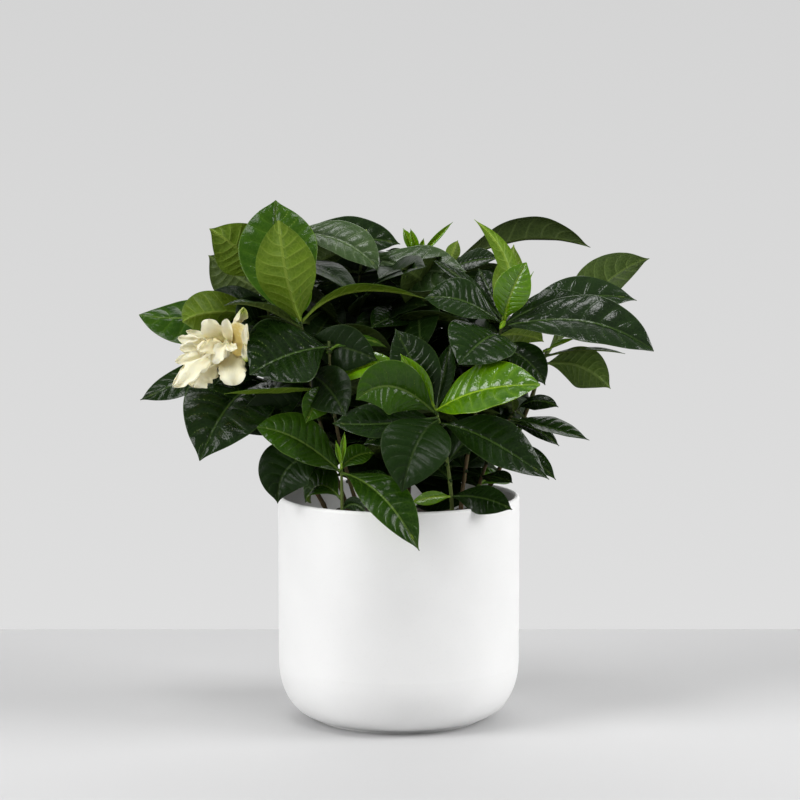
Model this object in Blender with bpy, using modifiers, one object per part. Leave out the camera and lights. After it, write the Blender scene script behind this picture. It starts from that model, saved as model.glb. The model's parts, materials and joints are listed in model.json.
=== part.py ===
"""Potted gardenia: a bushy flowering shrub standing in a plain white cylindrical planter.

The origin is the centre of the planter's flat foot, +Z is up, and the front of the plant
looks along -Y. Every shoot, leaf and petal is one closed solid in an object of its own, and
so are the planter, the potting soil and the flower's calyx. Lengths are in metres.
"""

import math
from typing import NamedTuple

import bmesh
import bpy
from mathutils import Vector

# Planter
POT_RADIUS = 0.080
POT_HEIGHT = 0.1495
POT_WALL = 0.0036
POT_FLOOR = 0.007
CORNER_REACH = 0.025  # horizontal half axis of the round bottom corner
CORNER_RISE = 0.036  # vertical half axis of the same corner
FOOT_RADIUS = 0.057
FOOT_HEIGHT = 0.0018
POT_SIDES = 48
CORNER_STEPS = 8
RIM_STEPS = 4

# Potting soil
SOIL_TOP = 0.130
SOIL_SIDES = 32
GAP = 0.0003  # clearance between neighbouring solids

# Shoots
SHOOT_POINTS = 11
COLLAR_HEIGHT = 0.005  # the short upright length of stem just above the soil
STEM_FOOT_RADIUS = 0.0023
STEM_TIP_RADIUS = 0.0013

# Leaves and petals
LEAF_THICKNESS = 0.0006
PETAL_THICKNESS = 0.0009
STATIONS = (0.0, 0.06, 0.14, 0.26, 0.40, 0.55, 0.70, 0.84, 0.94, 1.0)
STALK_HALF_WIDTH = 0.0007
TIP_HALF_WIDTH = 0.0005
STALK_FOLD = 30  # degrees: every leaf stalk and petal foot is channelled on its upper side
OUTWARD_START = 0.05  # share of its length by which a blade first leans straight out of its stem

# Directions that the upper side of a leaf looks
UP = (0.0, 0.0, 1.0)
FRONT = (0.0, -1.0, 0.0)
BACK = (0.0, 1.0, 0.0)
UP_FRONT = (0.0, -0.7, 0.7)
UP_BACK = (0.0, 0.7, 0.7)
TOP_FRONT = (0.0, -0.3, 1.0)
TOP_BACK = (0.0, 0.35, 1.0)

MATURE = ("leaf_mature", (0.018, 0.060, 0.012, 1.0), 0.28)
FRESH = ("leaf_fresh", (0.060, 0.170, 0.018, 1.0), 0.34)
YOUNG = ("leaf_young", (0.240, 0.400, 0.020, 1.0), 0.42)
PETAL = ("petal", (0.860, 0.800, 0.620, 1.0), 0.50)
CALYX = ("calyx", (0.130, 0.260, 0.040, 1.0), 0.50)
GREEN_STEM = ("stem_green", (0.160, 0.230, 0.060, 1.0), 0.55)
WOODY_STEM = ("stem_woody", (0.150, 0.095, 0.055, 1.0), 0.75)
SOIL = ("soil", (0.030, 0.020, 0.013, 1.0), 0.95)
CERAMIC = ("ceramic", (0.830, 0.825, 0.810, 1.0), 0.55)


class Shoot(NamedTuple):
    """A stem that leaves the soil upright and runs through its waist to its growing tip."""

    foot: tuple
    waist: tuple
    top: tuple
    look: tuple = WOODY_STEM


class Blade(NamedTuple):
    """A leaf or a petal: where it leaves its stem, how its midrib runs, and which way it looks."""

    shoot: str
    down: float  # distance along the stem from its growing tip to the blade's base
    middle: tuple
    tip: tuple
    width: float
    fold: float  # degrees that each half is lifted about the midrib, negative where it droops
    faces: tuple  # direction that the upper side looks
    look: tuple


SHOOTS = {
    "stem_left": Shoot((-0.030, -0.022), (-0.052, -0.034, 0.205), (-0.064, -0.036, 0.273)),
    "stem_far_left": Shoot((-0.046, 0.008), (-0.086, 0.006, 0.240), (-0.076, 0.020, 0.326)),
    "stem_crown_left": Shoot((-0.014, 0.020), (-0.028, 0.026, 0.230), (-0.024, 0.020, 0.310)),
    "stem_crown": Shoot((0.006, 0.004), (0.010, 0.014, 0.220), (0.013, 0.024, 0.306)),
    "stem_crown_right": Shoot((0.026, 0.032), (0.034, 0.034, 0.225), (0.033, 0.030, 0.303)),
    "stem_right": Shoot((0.040, -0.030), (0.0495, -0.034, 0.205), (0.070, -0.036, 0.272)),
    "stem_far_right": Shoot((0.050, 0.010), (0.078, -0.002, 0.190), (0.097, -0.016, 0.248)),
    "stem_front": Shoot((0.035, -0.052), (0.031, -0.056, 0.180), (0.023, -0.062, 0.216), GREEN_STEM),
    "stem_front_left": Shoot((-0.022, -0.046), (-0.040, -0.047, 0.200), (-0.045, -0.046, 0.256)),
    "stem_low_left": Shoot((-0.036, -0.058), (-0.0365, -0.059, 0.155), (-0.037, -0.060, 0.178), GREEN_STEM),
    "stem_low_right": Shoot((0.049, -0.014), (0.058, -0.018, 0.174), (0.078, -0.020, 0.210)),
    "stem_back": Shoot((0.000, 0.052), (-0.002, 0.068, 0.215), (0.002, 0.074, 0.280)),
}

# The flower stands at the end of a calyx that grows out of this stem.
FLOWER_PARENT = "stem_far_left"
FLOWER_DOWN = 0.088
FLOWER_CENTRE = (-0.112, -0.042, 0.252)
CALYX_NAME = "flower_calyx"
CALYX_FOOT_RADIUS = 0.0018
CALYX_TOP_RADIUS = 0.0030
CALYX_POINTS = 7
CALYX_SAG = Vector((0.0, 0.0, -0.003))

LEAVES = {
    "leaf_far_left_1": Blade(
        "stem_far_left", 0.052, (-0.131, 0.006, 0.267), (-0.172, 0.010, 0.268),
        0.040, -14, UP_FRONT, FRESH,
    ),
    "leaf_far_left_2": Blade(
        "stem_far_left", 0.061, (-0.121, -0.020, 0.272), (-0.140, -0.034, 0.267),
        0.030, 12, BACK, FRESH,
    ),
    "leaf_far_left_3": Blade(
        "stem_far_left", 0.046, (-0.108, 0.022, 0.293), (-0.127, 0.030, 0.306),
        0.038, 14, BACK, MATURE,
    ),
    "leaf_far_left_4": Blade(
        "stem_far_left", 0.036, (-0.101, 0.000, 0.309), (-0.124, -0.006, 0.326),
        0.038, 12, BACK, FRESH,
    ),
    "leaf_far_left_5": Blade(
        "stem_far_left", 0.077, (-0.136, -0.006, 0.229), (-0.169, -0.022, 0.215),
        0.030, -10, UP_FRONT, MATURE,
    ),
    "leaf_far_left_6": Blade(
        "stem_far_left", 0.104, (-0.108, -0.034, 0.215), (-0.128, -0.060, 0.180),
        0.060, 10, UP_FRONT, MATURE,
    ),
    "leaf_left_1": Blade(
        "stem_left", 0.0075, (-0.077, -0.013, 0.308), (-0.081, 0.006, 0.344),
        0.056, 12, FRONT, FRESH,
    ),
    "leaf_left_2": Blade(
        "stem_left", 0.0035, (-0.072, -0.049, 0.300), (-0.077, -0.050, 0.334),
        0.043, 12, BACK, FRESH,
    ),
    "leaf_left_3": Blade(
        "stem_left", 0.008, (-0.088, -0.058, 0.279), (-0.111, -0.068, 0.281),
        0.024, 14, UP, MATURE,
    ),
    "leaf_left_4": Blade(
        "stem_front_left", 0.004, (-0.071, -0.060, 0.248), (-0.095, -0.072, 0.237),
        0.046, 10, UP_FRONT, MATURE,
    ),
    "leaf_left_5": Blade(
        "stem_left", 0.004, (-0.032, -0.030, 0.286), (0.017, -0.026, 0.282),
        0.028, 14, TOP_BACK, FRESH,
    ),
    "leaf_top_1": Blade(
        "stem_far_left", 0.004, (-0.039, 0.008, 0.317), (-0.012, -0.002, 0.297),
        0.028, 12, TOP_FRONT, MATURE,
    ),
    "leaf_top_2": Blade(
        "stem_far_left", 0.009, (-0.034, 0.046, 0.317), (0.001, 0.052, 0.312),
        0.034, 10, UP_FRONT, MATURE,
    ),
    "leaf_top_3": Blade(
        "stem_crown_left", 0.003, (0.013, 0.000, 0.299), (0.044, -0.018, 0.299),
        0.030, 10, UP_FRONT, MATURE,
    ),
    "leaf_top_4": Blade(
        "stem_crown_right", 0.003, (0.082, 0.036, 0.316), (0.128, 0.034, 0.311),
        0.030, 38, UP_BACK, MATURE,
    ),
    "leaf_right_1": Blade(
        "stem_right", 0.003, (0.072, -0.030, 0.302), (0.049, -0.024, 0.333),
        0.018, 20, BACK, FRESH,
    ),
    "leaf_right_2": Blade(
        "stem_right", 0.002, (0.073, -0.046, 0.288), (0.082, -0.048, 0.307),
        0.024, 12, FRONT, YOUNG,
    ),
    "leaf_right_3": Blade(
        "stem_right", 0.010, (0.112, -0.020, 0.281), (0.156, -0.008, 0.279),
        0.032, 14, UP_FRONT, MATURE,
    ),
    "leaf_right_4": Blade(
        "stem_right", 0.007, (0.118, -0.052, 0.270), (0.163, -0.062, 0.251),
        0.040, 12, UP_FRONT, MATURE,
    ),
    "leaf_right_5": Blade(
        "stem_right", 0.014, (0.053, -0.062, 0.257), (0.038, -0.076, 0.244),
        0.048, 10, UP_FRONT, MATURE,
    ),
    "leaf_right_6": Blade(
        "stem_right", 0.006, (0.041, -0.046, 0.282), (0.016, -0.042, 0.283),
        0.032, 10, UP_FRONT, MATURE,
    ),
    "leaf_far_right_1": Blade(
        "stem_far_right", 0.004, (0.130, 0.008, 0.284), (0.166, 0.014, 0.305),
        0.044, 12, UP_BACK, FRESH,
    ),
    "leaf_far_right_2": Blade(
        "stem_far_right", 0.010, (0.118, -0.022, 0.237), (0.138, -0.028, 0.223),
        0.028, 12, BACK, FRESH,
    ),
    "leaf_front_1": Blade(
        "stem_front", 0.003, (0.051, -0.082, 0.228), (0.089, -0.096, 0.233),
        0.042, 10, UP_FRONT, YOUNG,
    ),
    "leaf_front_2": Blade(
        "stem_front", 0.010, (0.012, -0.088, 0.195), (0.002, -0.096, 0.165),
        0.046, 10, UP_FRONT, MATURE,
    ),
    "leaf_front_3": Blade(
        "stem_front", 0.013, (0.058, -0.072, 0.194), (0.096, -0.074, 0.170),
        0.036, 12, UP_FRONT, MATURE,
    ),
    "leaf_front_4": Blade(
        "stem_front", 0.008, (-0.013, -0.074, 0.206), (-0.042, -0.082, 0.207),
        0.028, 12, UP_FRONT, MATURE,
    ),
    "leaf_front_5": Blade(
        "stem_front", 0.003, (-0.003, -0.074, 0.230), (-0.027, -0.080, 0.222),
        0.036, 12, FRONT, FRESH,
    ),
    "leaf_low_left_1": Blade(
        "stem_low_left", 0.004, (-0.063, -0.064, 0.194), (-0.091, -0.062, 0.202),
        0.032, 10, UP_FRONT, FRESH,
    ),
    "leaf_low_left_2": Blade(
        "stem_low_left", 0.022, (-0.051, -0.046, 0.162), (-0.061, -0.034, 0.149),
        0.030, 10, UP_FRONT, FRESH,
    ),
    "leaf_low_left_3": Blade(
        "stem_low_left", 0.006, (-0.010, -0.090, 0.160), (0.013, -0.099, 0.128),
        0.030, 10, UP_FRONT, FRESH,
    ),
    "leaf_low_left_4": Blade(
        "stem_front_left", 0.070, (-0.069, -0.052, 0.176), (-0.078, -0.058, 0.152),
        0.040, 10, UP_FRONT, MATURE,
    ),
    "leaf_low_right_1": Blade(
        "stem_low_right", 0.008, (0.097, -0.028, 0.198), (0.124, -0.034, 0.190),
        0.024, 12, TOP_FRONT, MATURE,
    ),
    "leaf_back_1": Blade(
        "stem_back", 0.006, (-0.036, 0.108, 0.282), (-0.070, 0.128, 0.262),
        0.040, 12, UP_BACK, MATURE,
    ),
    "leaf_back_2": Blade(
        "stem_back", 0.010, (0.036, 0.108, 0.276), (0.066, 0.132, 0.250),
        0.040, 12, UP_BACK, MATURE,
    ),
    "leaf_back_3": Blade(
        "stem_back", 0.040, (0.010, 0.112, 0.230), (0.012, 0.136, 0.190),
        0.044, 12, UP_BACK, MATURE,
    ),
}

PETALS = {
    "petal_1": Blade(
        CALYX_NAME, 0.0025, (-0.119, -0.050, 0.262), (-0.122, -0.056, 0.271),
        0.0135, 14, FRONT, PETAL,
    ),
    "petal_2": Blade(
        CALYX_NAME, 0.000, (-0.110, -0.058, 0.263), (-0.110, -0.064, 0.272),
        0.008, 30, FRONT, PETAL,
    ),
    "petal_3": Blade(
        CALYX_NAME, 0.003, (-0.106, -0.040, 0.266), (-0.100, -0.038, 0.277),
        0.01, 30, FRONT, PETAL,
    ),
    "petal_4": Blade(
        CALYX_NAME, 0.0045, (-0.102, -0.045, 0.256), (-0.097, -0.055, 0.266),
        0.019, 24, FRONT, PETAL,
    ),
    "petal_5": Blade(
        CALYX_NAME, 0.003, (-0.107, -0.057, 0.239), (-0.106, -0.063, 0.229),
        0.0185, 10, FRONT, PETAL,
    ),
    "petal_6": Blade(
        CALYX_NAME, 0.002, (-0.126, -0.048, 0.252), (-0.141, -0.050, 0.252),
        0.011, 14, FRONT, PETAL,
    ),
    "petal_7": Blade(
        CALYX_NAME, 0.001, (-0.127, -0.056, 0.248), (-0.143, -0.061, 0.244),
        0.009, 14, FRONT, PETAL,
    ),
    "petal_8": Blade(
        CALYX_NAME, 0.000, (-0.126, -0.064, 0.243), (-0.144, -0.071, 0.229),
        0.011, 14, FRONT, PETAL,
    ),
    "petal_9": Blade(
        CALYX_NAME, 0.004, (-0.125, -0.051, 0.238), (-0.132, -0.055, 0.227),
        0.02, 14, FRONT, PETAL,
    ),
}


def clear_scene():
    for obj in list(bpy.data.objects):
        bpy.data.objects.remove(obj, do_unlink=True)


def material(look):
    name, colour, roughness = look
    if name in bpy.data.materials:
        return bpy.data.materials[name]
    made = bpy.data.materials.new(name)
    made.use_nodes = True
    shader = made.node_tree.nodes["Principled BSDF"]
    shader.inputs["Base Color"].default_value = colour
    shader.inputs["Roughness"].default_value = roughness
    shader.inputs["Metallic"].default_value = 0.0
    return made


def add_object(name, data, look, collection):
    obj = bpy.data.objects.new(name, data)
    data.materials.append(material(look))
    collection.objects.link(obj)
    return obj


def turned(name, profile, sides, look, collection):
    """A profile of (radius, height) points, turned about the Z axis."""
    mesh = bpy.data.meshes.new(name)
    points = [(radius, 0.0, height) for radius, height in profile]
    mesh.from_pydata(points, [(i, i + 1) for i in range(len(points) - 1)], [])
    obj = add_object(name, mesh, look, collection)
    screw = obj.modifiers.new("turn", "SCREW")
    screw.steps = screw.render_steps = sides
    screw.use_merge_vertices = True
    screw.merge_threshold = 0.00001
    screw.use_smooth_shade = True
    return obj


def corner_arc(radius, reach, rise, low):
    """The quarter ellipse of a round bottom corner, from the side wall down to the floor."""
    arc = []
    for step in range(CORNER_STEPS + 1):
        angle = math.pi / 2 * step / CORNER_STEPS
        arc.append((radius - reach + reach * math.cos(angle), low + rise - rise * math.sin(angle)))
    return arc


def inner_arc(clearance):
    """The hollow's bottom corner, drawn in by a clearance."""
    return corner_arc(
        POT_RADIUS - POT_WALL - clearance,
        CORNER_REACH - POT_WALL,
        CORNER_RISE - POT_WALL,
        POT_FLOOR + clearance,
    )


def make_planter(collection):
    half = POT_WALL / 2
    inside = [(0.0, POT_FLOOR)] + list(reversed(inner_arc(0.0)))
    rim = []
    for step in range(RIM_STEPS + 1):
        angle = math.pi * (1 - step / RIM_STEPS)
        rim.append((POT_RADIUS - half + half * math.cos(angle), POT_HEIGHT - half + half * math.sin(angle)))
    outside = corner_arc(POT_RADIUS, CORNER_REACH, CORNER_RISE, FOOT_HEIGHT)
    foot = [(FOOT_RADIUS - FOOT_HEIGHT, FOOT_HEIGHT), (FOOT_RADIUS - FOOT_HEIGHT, 0.0), (0.0, 0.0)]
    outside = [point for point in outside if point[0] > FOOT_RADIUS]
    turned("planter", inside + rim + outside + foot, POT_SIDES, CERAMIC, collection)


def make_soil(collection):
    """Soil fills the hollow up to SOIL_TOP, a little clear of the wall."""
    arc = inner_arc(GAP)
    edge = arc[0][0]
    profile = [(0.0, SOIL_TOP), (edge - 0.002, SOIL_TOP), (edge, SOIL_TOP - 0.002)]
    turned("potting_soil", profile + arc + [(0.0, arc[-1][1])], SOIL_SIDES, SOIL, collection)


def path_through(first, middle, last, count):
    """Evenly numbered points on the parabola through three points."""
    first, middle, last = Vector(first), Vector(middle), Vector(last)
    before = (middle - first).length
    split = before / (before + (last - middle).length)
    points = []
    for i in range(count):
        t = i / (count - 1)
        a = (t - split) * (t - 1) / split
        b = t * (t - 1) / (split * (split - 1))
        c = t * (t - split) / (1 - split)
        points.append(first * a + middle * b + last * c)
    return points


def make_tube(name, path, foot_radius, tip_radius, look, collection):
    curve = bpy.data.curves.new(name, "CURVE")
    curve.dimensions = "3D"
    curve.bevel_depth = foot_radius
    curve.bevel_resolution = 2
    curve.use_fill_caps = True
    spline = curve.splines.new("POLY")
    spline.points.add(len(path) - 1)
    for i, place in enumerate(path):
        share = i / (len(path) - 1)
        spline.points[i].co = (*place, 1.0)
        spline.points[i].radius = 1 + (tip_radius / foot_radius - 1) * share
    spline.use_smooth = True
    add_object(name, curve, look, collection)


def place_on(path, foot_radius, tip_radius, down):
    """The point on a stem's axis at a distance below its tip, with its direction and radius."""
    left = down
    for i in range(len(path) - 1, 0, -1):
        step = path[i - 1] - path[i]
        if left <= step.length or i == 1:
            share = (i - left / step.length) / (len(path) - 1)
            radius = foot_radius + (tip_radius - foot_radius) * share
            return path[i] + step.normalized() * left, -step.normalized(), radius
        left -= step.length


def leaf_outline(t):
    """Half width at a share of the length: widest past the middle, drawn out to a point."""
    return math.sin(math.pi * t**1.1)


def petal_outline(t):
    """Half width of a petal: narrow at its foot and round at its end."""
    return max(0.0, math.sin(math.pi * t**1.5)) ** 0.6


def blade_mesh(name, base, outward, blade, outline):
    """A sheet along the arc through base, middle and tip, folded along its midrib."""
    middle, tip = Vector(blade.middle), Vector(blade.tip)
    bend = middle * 2 - (base + tip) / 2
    lean = outward * OUTWARD_START * (tip - base).length
    near = base + (bend - base) * 2 / 3 + lean
    far = tip + (bend - tip) * 2 / 3
    faces = Vector(blade.faces)
    sheet = bmesh.new()
    bmesh.ops.create_grid(sheet, x_segments=2, y_segments=len(STATIONS) - 1, size=1.0)
    for vert in sheet.verts:
        side = round(vert.co.x)
        t = STATIONS[round((vert.co.y + 1) / 2 * (len(STATIONS) - 1))]
        s = 1 - t
        centre = base * s**3 + near * 3 * s * s * t + far * 3 * s * t * t + tip * t**3
        heading = (near - base) * s * s + (far - near) * 2 * s * t + (tip - far) * t * t
        heading.normalize()
        across = heading.cross(faces).normalized()
        above = across.cross(heading)
        least = STALK_HALF_WIDTH if t < 0.5 else TIP_HALF_WIDTH
        half = max(blade.width / 2 * outline(t), least)
        fold = math.radians(blade.fold if t > 0 else STALK_FOLD)
        vert.co = centre + (across * side * math.cos(fold) + above * abs(side) * math.sin(fold)) * half
    bmesh.ops.recalc_face_normals(sheet, faces=sheet.faces)
    mesh = bpy.data.meshes.new(name)
    sheet.to_mesh(mesh)
    sheet.free()
    mesh.shade_smooth()
    return mesh


def make_blade(name, blade, stems, outline, thickness, collection):
    axis, direction, radius = place_on(*stems[blade.shoot], blade.down)
    outward = Vector(blade.middle) - axis
    outward = (outward - direction * outward.dot(direction)).normalized()
    base = axis + outward * (radius + GAP + thickness / 2)
    mesh = blade_mesh(name, base, outward, blade, outline)
    obj = add_object(name, mesh, blade.look, collection)
    solid = obj.modifiers.new("thickness", "SOLIDIFY")
    solid.thickness = thickness
    solid.offset = 0.0


def make_stems(collection):
    """Every stem as a tapering tube. The result gives each one's path and its two radii."""
    stems = {}
    for name, shoot in SHOOTS.items():
        foot = Vector((*shoot.foot, SOIL_TOP + GAP))
        collar = foot + Vector((0.0, 0.0, COLLAR_HEIGHT))
        path = [foot] + path_through(collar, shoot.waist, shoot.top, SHOOT_POINTS)
        make_tube(name, path, STEM_FOOT_RADIUS, STEM_TIP_RADIUS, shoot.look, collection)
        stems[name] = (path, STEM_FOOT_RADIUS, STEM_TIP_RADIUS)
    return stems


def make_calyx(stems, collection):
    """The green tube that carries the petals, from the side of its stem to the flower's centre."""
    axis, direction, radius = place_on(*stems[FLOWER_PARENT], FLOWER_DOWN)
    centre = Vector(FLOWER_CENTRE)
    outward = centre - axis
    outward = (outward - direction * outward.dot(direction)).normalized()
    foot = axis + outward * (radius + GAP + CALYX_FOOT_RADIUS / 4)
    path = path_through(foot, (foot + centre) / 2 + CALYX_SAG, centre, CALYX_POINTS)
    make_tube(CALYX_NAME, path, CALYX_FOOT_RADIUS, CALYX_TOP_RADIUS, CALYX, collection)
    return (path, CALYX_FOOT_RADIUS, CALYX_TOP_RADIUS)


def main():
    clear_scene()
    collection = bpy.data.collections.new("potted_gardenia")
    bpy.context.scene.collection.children.link(collection)
    make_planter(collection)
    make_soil(collection)
    stems = make_stems(collection)
    stems[CALYX_NAME] = make_calyx(stems, collection)
    for name, leaf in LEAVES.items():
        make_blade(name, leaf, stems, leaf_outline, LEAF_THICKNESS, collection)
    for name, petal in PETALS.items():
        make_blade(name, petal, stems, petal_outline, PETAL_THICKNESS, collection)


main()
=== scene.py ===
"""Looks of the potted gardenia: fine leaves, petals, stems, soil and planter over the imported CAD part.

Every leaf, petal and stem of the part is rebuilt at a finer scale on the curve of its own CAD node, and
the smaller leaves and buds between them grow from the same stems. Lengths are in metres.
"""

import json
import math
from typing import NamedTuple

import bpy
import numpy as np
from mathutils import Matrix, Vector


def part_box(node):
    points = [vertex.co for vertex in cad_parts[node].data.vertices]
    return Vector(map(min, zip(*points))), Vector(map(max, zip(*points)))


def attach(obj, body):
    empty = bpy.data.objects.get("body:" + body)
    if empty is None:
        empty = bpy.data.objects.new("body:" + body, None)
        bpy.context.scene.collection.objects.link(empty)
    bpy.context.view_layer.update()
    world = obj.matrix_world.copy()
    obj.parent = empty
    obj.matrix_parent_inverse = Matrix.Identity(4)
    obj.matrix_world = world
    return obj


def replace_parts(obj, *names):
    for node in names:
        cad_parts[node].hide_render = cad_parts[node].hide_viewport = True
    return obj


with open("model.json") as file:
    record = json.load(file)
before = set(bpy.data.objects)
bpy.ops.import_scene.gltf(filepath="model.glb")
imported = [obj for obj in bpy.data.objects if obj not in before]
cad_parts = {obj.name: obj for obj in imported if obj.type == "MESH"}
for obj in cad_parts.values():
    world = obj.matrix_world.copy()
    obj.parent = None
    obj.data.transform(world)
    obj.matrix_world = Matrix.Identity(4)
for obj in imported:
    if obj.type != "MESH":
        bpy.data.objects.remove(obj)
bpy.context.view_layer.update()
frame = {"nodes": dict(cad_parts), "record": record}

STATIONS = np.array((0.0, 0.06, 0.14, 0.26, 0.40, 0.55, 0.70, 0.84, 0.94, 1.0))  # along a CAD blade
WIDEST = 5  # the station at which a blade's width is read
LEAF_THICKNESS = 0.0006  # of the CAD's leaves
PETAL_THICKNESS = 0.0009
FOOT_HALF_WIDTH = 0.0007  # of a CAD blade, at its first station
TIP_HALF_WIDTH = 0.0005
TUBE_SIDES = 8  # corners round each ring of a CAD tube
SAME_PLACE = 1e-6
FAR_AWAY = 9.0

# Directions in which a leaf's upper side can look.
UP = (0.0, 0.0, 1.0)
FRONT = (0.0, -1.0, 0.0)
BACK = (0.0, 1.0, 0.0)
UP_FRONT = (0.0, -0.7, 0.7)
UP_BACK = (0.0, 0.7, 0.7)
LEFT_FRONT = (-0.5, -0.5, 0.7)
TOP_BACK = (0.0, 0.35, 1.0)


# ---------------------------------------------------------------- reading the CAD nodes


def nodes_named(start):
    return sorted(n for n in frame["nodes"] if n.startswith(start))


def seeded(name):
    """Random numbers that are the same at each run, and a name's own."""
    return np.random.default_rng(sum(ord(c) * (i + 7) for i, c in enumerate(name)))


def node_graph(name):
    """A node's corner points, each once, and for every point the points it is joined to."""
    mesh = frame["nodes"][name].data
    flat = np.empty(len(mesh.vertices) * 3, np.float32)
    mesh.vertices.foreach_get("co", flat)
    points, index = np.unique(flat.reshape(-1, 3), axis=0, return_inverse=True)
    index = index.reshape(-1)
    links = [set() for _ in points]
    for edge in mesh.edges:
        a, b = (int(index[v]) for v in edge.vertices)
        if a != b:
            links[a].add(b)
            links[b].add(a)
    return points.astype(float), links


def distances(points):
    """How far each point lies from each other one. A point counts as far away from itself."""
    apart = np.linalg.norm(points[:, None] - points[None], axis=2)
    np.fill_diagonal(apart, FAR_AWAY)
    return apart


def end_ring(apart, joined, on_rim, step):
    """The point of the rim with two joined neighbours at just this distance, and those two."""
    rim = [k for k, outer in enumerate(on_rim) if outer]
    best = {k: sorted(joined[k], key=lambda j: abs(apart[k, j] - step))[:2] for k in rim}
    middle = min(best, key=lambda k: sum(abs(apart[k, j] - step) for j in best[k]))
    return middle, *best[middle]


def sheet_rings(name, thickness):
    """The left margin, midrib and right margin of a blade's middle surface at each station."""
    points, links = node_graph(name)
    first, second = np.triu_indices(len(points), 1)
    misfit = np.abs(distances(points)[first, second] - thickness)
    pairs, taken = [], set()
    for k in np.argsort(misfit):
        a, b = int(first[k]), int(second[k])
        if not {a, b} & taken:
            pairs.append((a, b))
            taken |= {a, b}
    group = {i: n for n, pair in enumerate(pairs) for i in pair}
    centres = np.array([(points[a] + points[b]) / 2 for a, b in pairs])
    on_rim = [b in links[a] for a, b in pairs]
    joined = [{group[k] for i in pair for k in links[i]} - {n} for n, pair in enumerate(pairs)]
    apart = distances(centres)
    foot, left, right = end_ring(apart, joined, on_rim, FOOT_HALF_WIDTH)
    end = end_ring(apart, joined, on_rim, TIP_HALF_WIDTH)[0]
    rings = [(left, foot, right)]
    used = {left, foot, right}
    while len(rings) < len(STATIONS):
        ahead = set().union(*(joined[k] for k in rings[-1])) - used
        used |= ahead
        middle = end if end in ahead else next(k for k in ahead if not on_rim[k])
        ahead.discard(middle)
        left = next(k for k in ahead if k in joined[rings[-1][0]])
        ahead.discard(left)
        rings.append((left, middle, ahead.pop()))
    rings = centres[np.array(rings)]
    above = rings[0, 0] + rings[0, 2] - 2 * rings[0, 1]
    if np.dot(np.cross(rings[1, 1] - rings[0, 1], above), rings[0, 2] - rings[0, 0]) < 0:
        rings = rings[:, ::-1]
    return rings


def tube_rings(name, start):
    """The centres and the radii of a tube's rings, from the end that is nearer to start."""
    points, links = node_graph(name)
    first = int(np.argmin(np.linalg.norm(points - start, axis=1)))
    apart = np.linalg.norm(points - points[first], axis=1)
    rings = [{int(k) for k in np.argsort(apart)[:TUBE_SIDES]}]
    used = set(rings[0])
    while True:
        ahead = set().union(*(links[k] for k in rings[-1])) - used
        if not ahead:
            break
        used |= ahead
        rings.append(ahead)
    centres = np.array([points[sorted(r)].mean(axis=0) for r in rings])
    radii = [np.linalg.norm(points[sorted(r)] - c, axis=1).mean() for r, c in zip(rings, centres)]
    return centres, np.array(radii)


def turned_profile(name):
    """The (radius, height) points of a turned node, from the axis below to the axis above."""
    points, links = node_graph(name)
    radius, height = np.hypot(points[:, 0], points[:, 1]), points[:, 2]
    turn = np.arctan2(points[:, 1], points[:, 0])
    here = int(np.argmin(radius + height))
    chain = [here]

    def in_line(a, b):
        return min(radius[a], radius[b]) < SAME_PLACE or abs(turn[a] - turn[b]) < 1e-4

    def level_with(a, b):
        return abs(radius[a] - radius[b]) + abs(height[a] - height[b]) < SAME_PLACE

    while True:
        ahead = [k for k in links[here] if in_line(here, k) and not any(level_with(k, c) for c in chain)]
        if not ahead:
            break
        here = ahead[0]
        chain.append(here)
    return np.stack((radius[chain], height[chain]), axis=1)


# ---------------------------------------------------------------- curves


def unit(v):
    return v / np.maximum(np.linalg.norm(v, axis=-1, keepdims=True), 1e-12)


def run_along(points):
    """The distance along a line of points, at each of them."""
    return np.concatenate(((0.0,), np.cumsum(np.linalg.norm(np.diff(points, axis=0), axis=1))))


def round_turn(count):
    """Even angles once round, in radians."""
    return np.linspace(0, 2 * math.pi, count, endpoint=False)


class Spine:
    """The midrib of a blade as a cubic, with the direction across it, its width and its fold."""

    def __init__(self, middles, across, width, fold):
        self.curve = np.polyfit(STATIONS, middles, 3)
        self.across = np.polyfit(STATIONS, across, 4)
        self.width = width
        self.fold = fold
        self.roll = 0.0  # radians that the blade is turned about its midrib

    def at(self, t):
        return sum(np.outer(t**p, c) for p, c in zip((3, 2, 1, 0), self.curve))

    def frames(self, t):
        """Centre, rightward and upward directions at each t."""
        slope = sum(p * np.outer(t ** (p - 1), c) for p, c in zip((3, 2, 1), self.curve))
        heading = unit(slope)
        held = np.clip(t, 0, 1)
        side = sum(np.outer(held**p, c) for p, c in zip((4, 3, 2, 1, 0), self.across))
        side = unit(side - heading * (side * heading).sum(axis=1, keepdims=True))
        side = side * math.cos(self.roll) + np.cross(side, heading) * math.sin(self.roll)
        return self.at(t), side, np.cross(side, heading)


def cad_spine(name, thickness, outline):
    rings = sheet_rings(name, thickness)
    spread = rings[:, 2] - rings[:, 0]
    spine = Spine(rings[:, 1], unit(spread), 1.0, 0.0)
    lift = (rings[WIDEST, 0] + rings[WIDEST, 2]) / 2 - rings[WIDEST, 1]
    above = spine.frames(STATIONS)[2][WIDEST]
    rise, reach = float(lift @ above), float(np.linalg.norm(spread[WIDEST]) / 2)
    spine.width = 2 * math.hypot(rise, reach) / outline(STATIONS[WIDEST])
    spine.fold = math.atan2(rise, reach)
    return spine


def aimed(turn, rise):
    """The direction at a compass turn (0 right, 90 away from the viewer, 180 left) and a rise, in degrees."""
    turn, rise = math.radians(turn), math.radians(rise)
    return np.array((math.cos(turn) * math.cos(rise), math.sin(turn) * math.cos(rise), math.sin(rise)))


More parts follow.
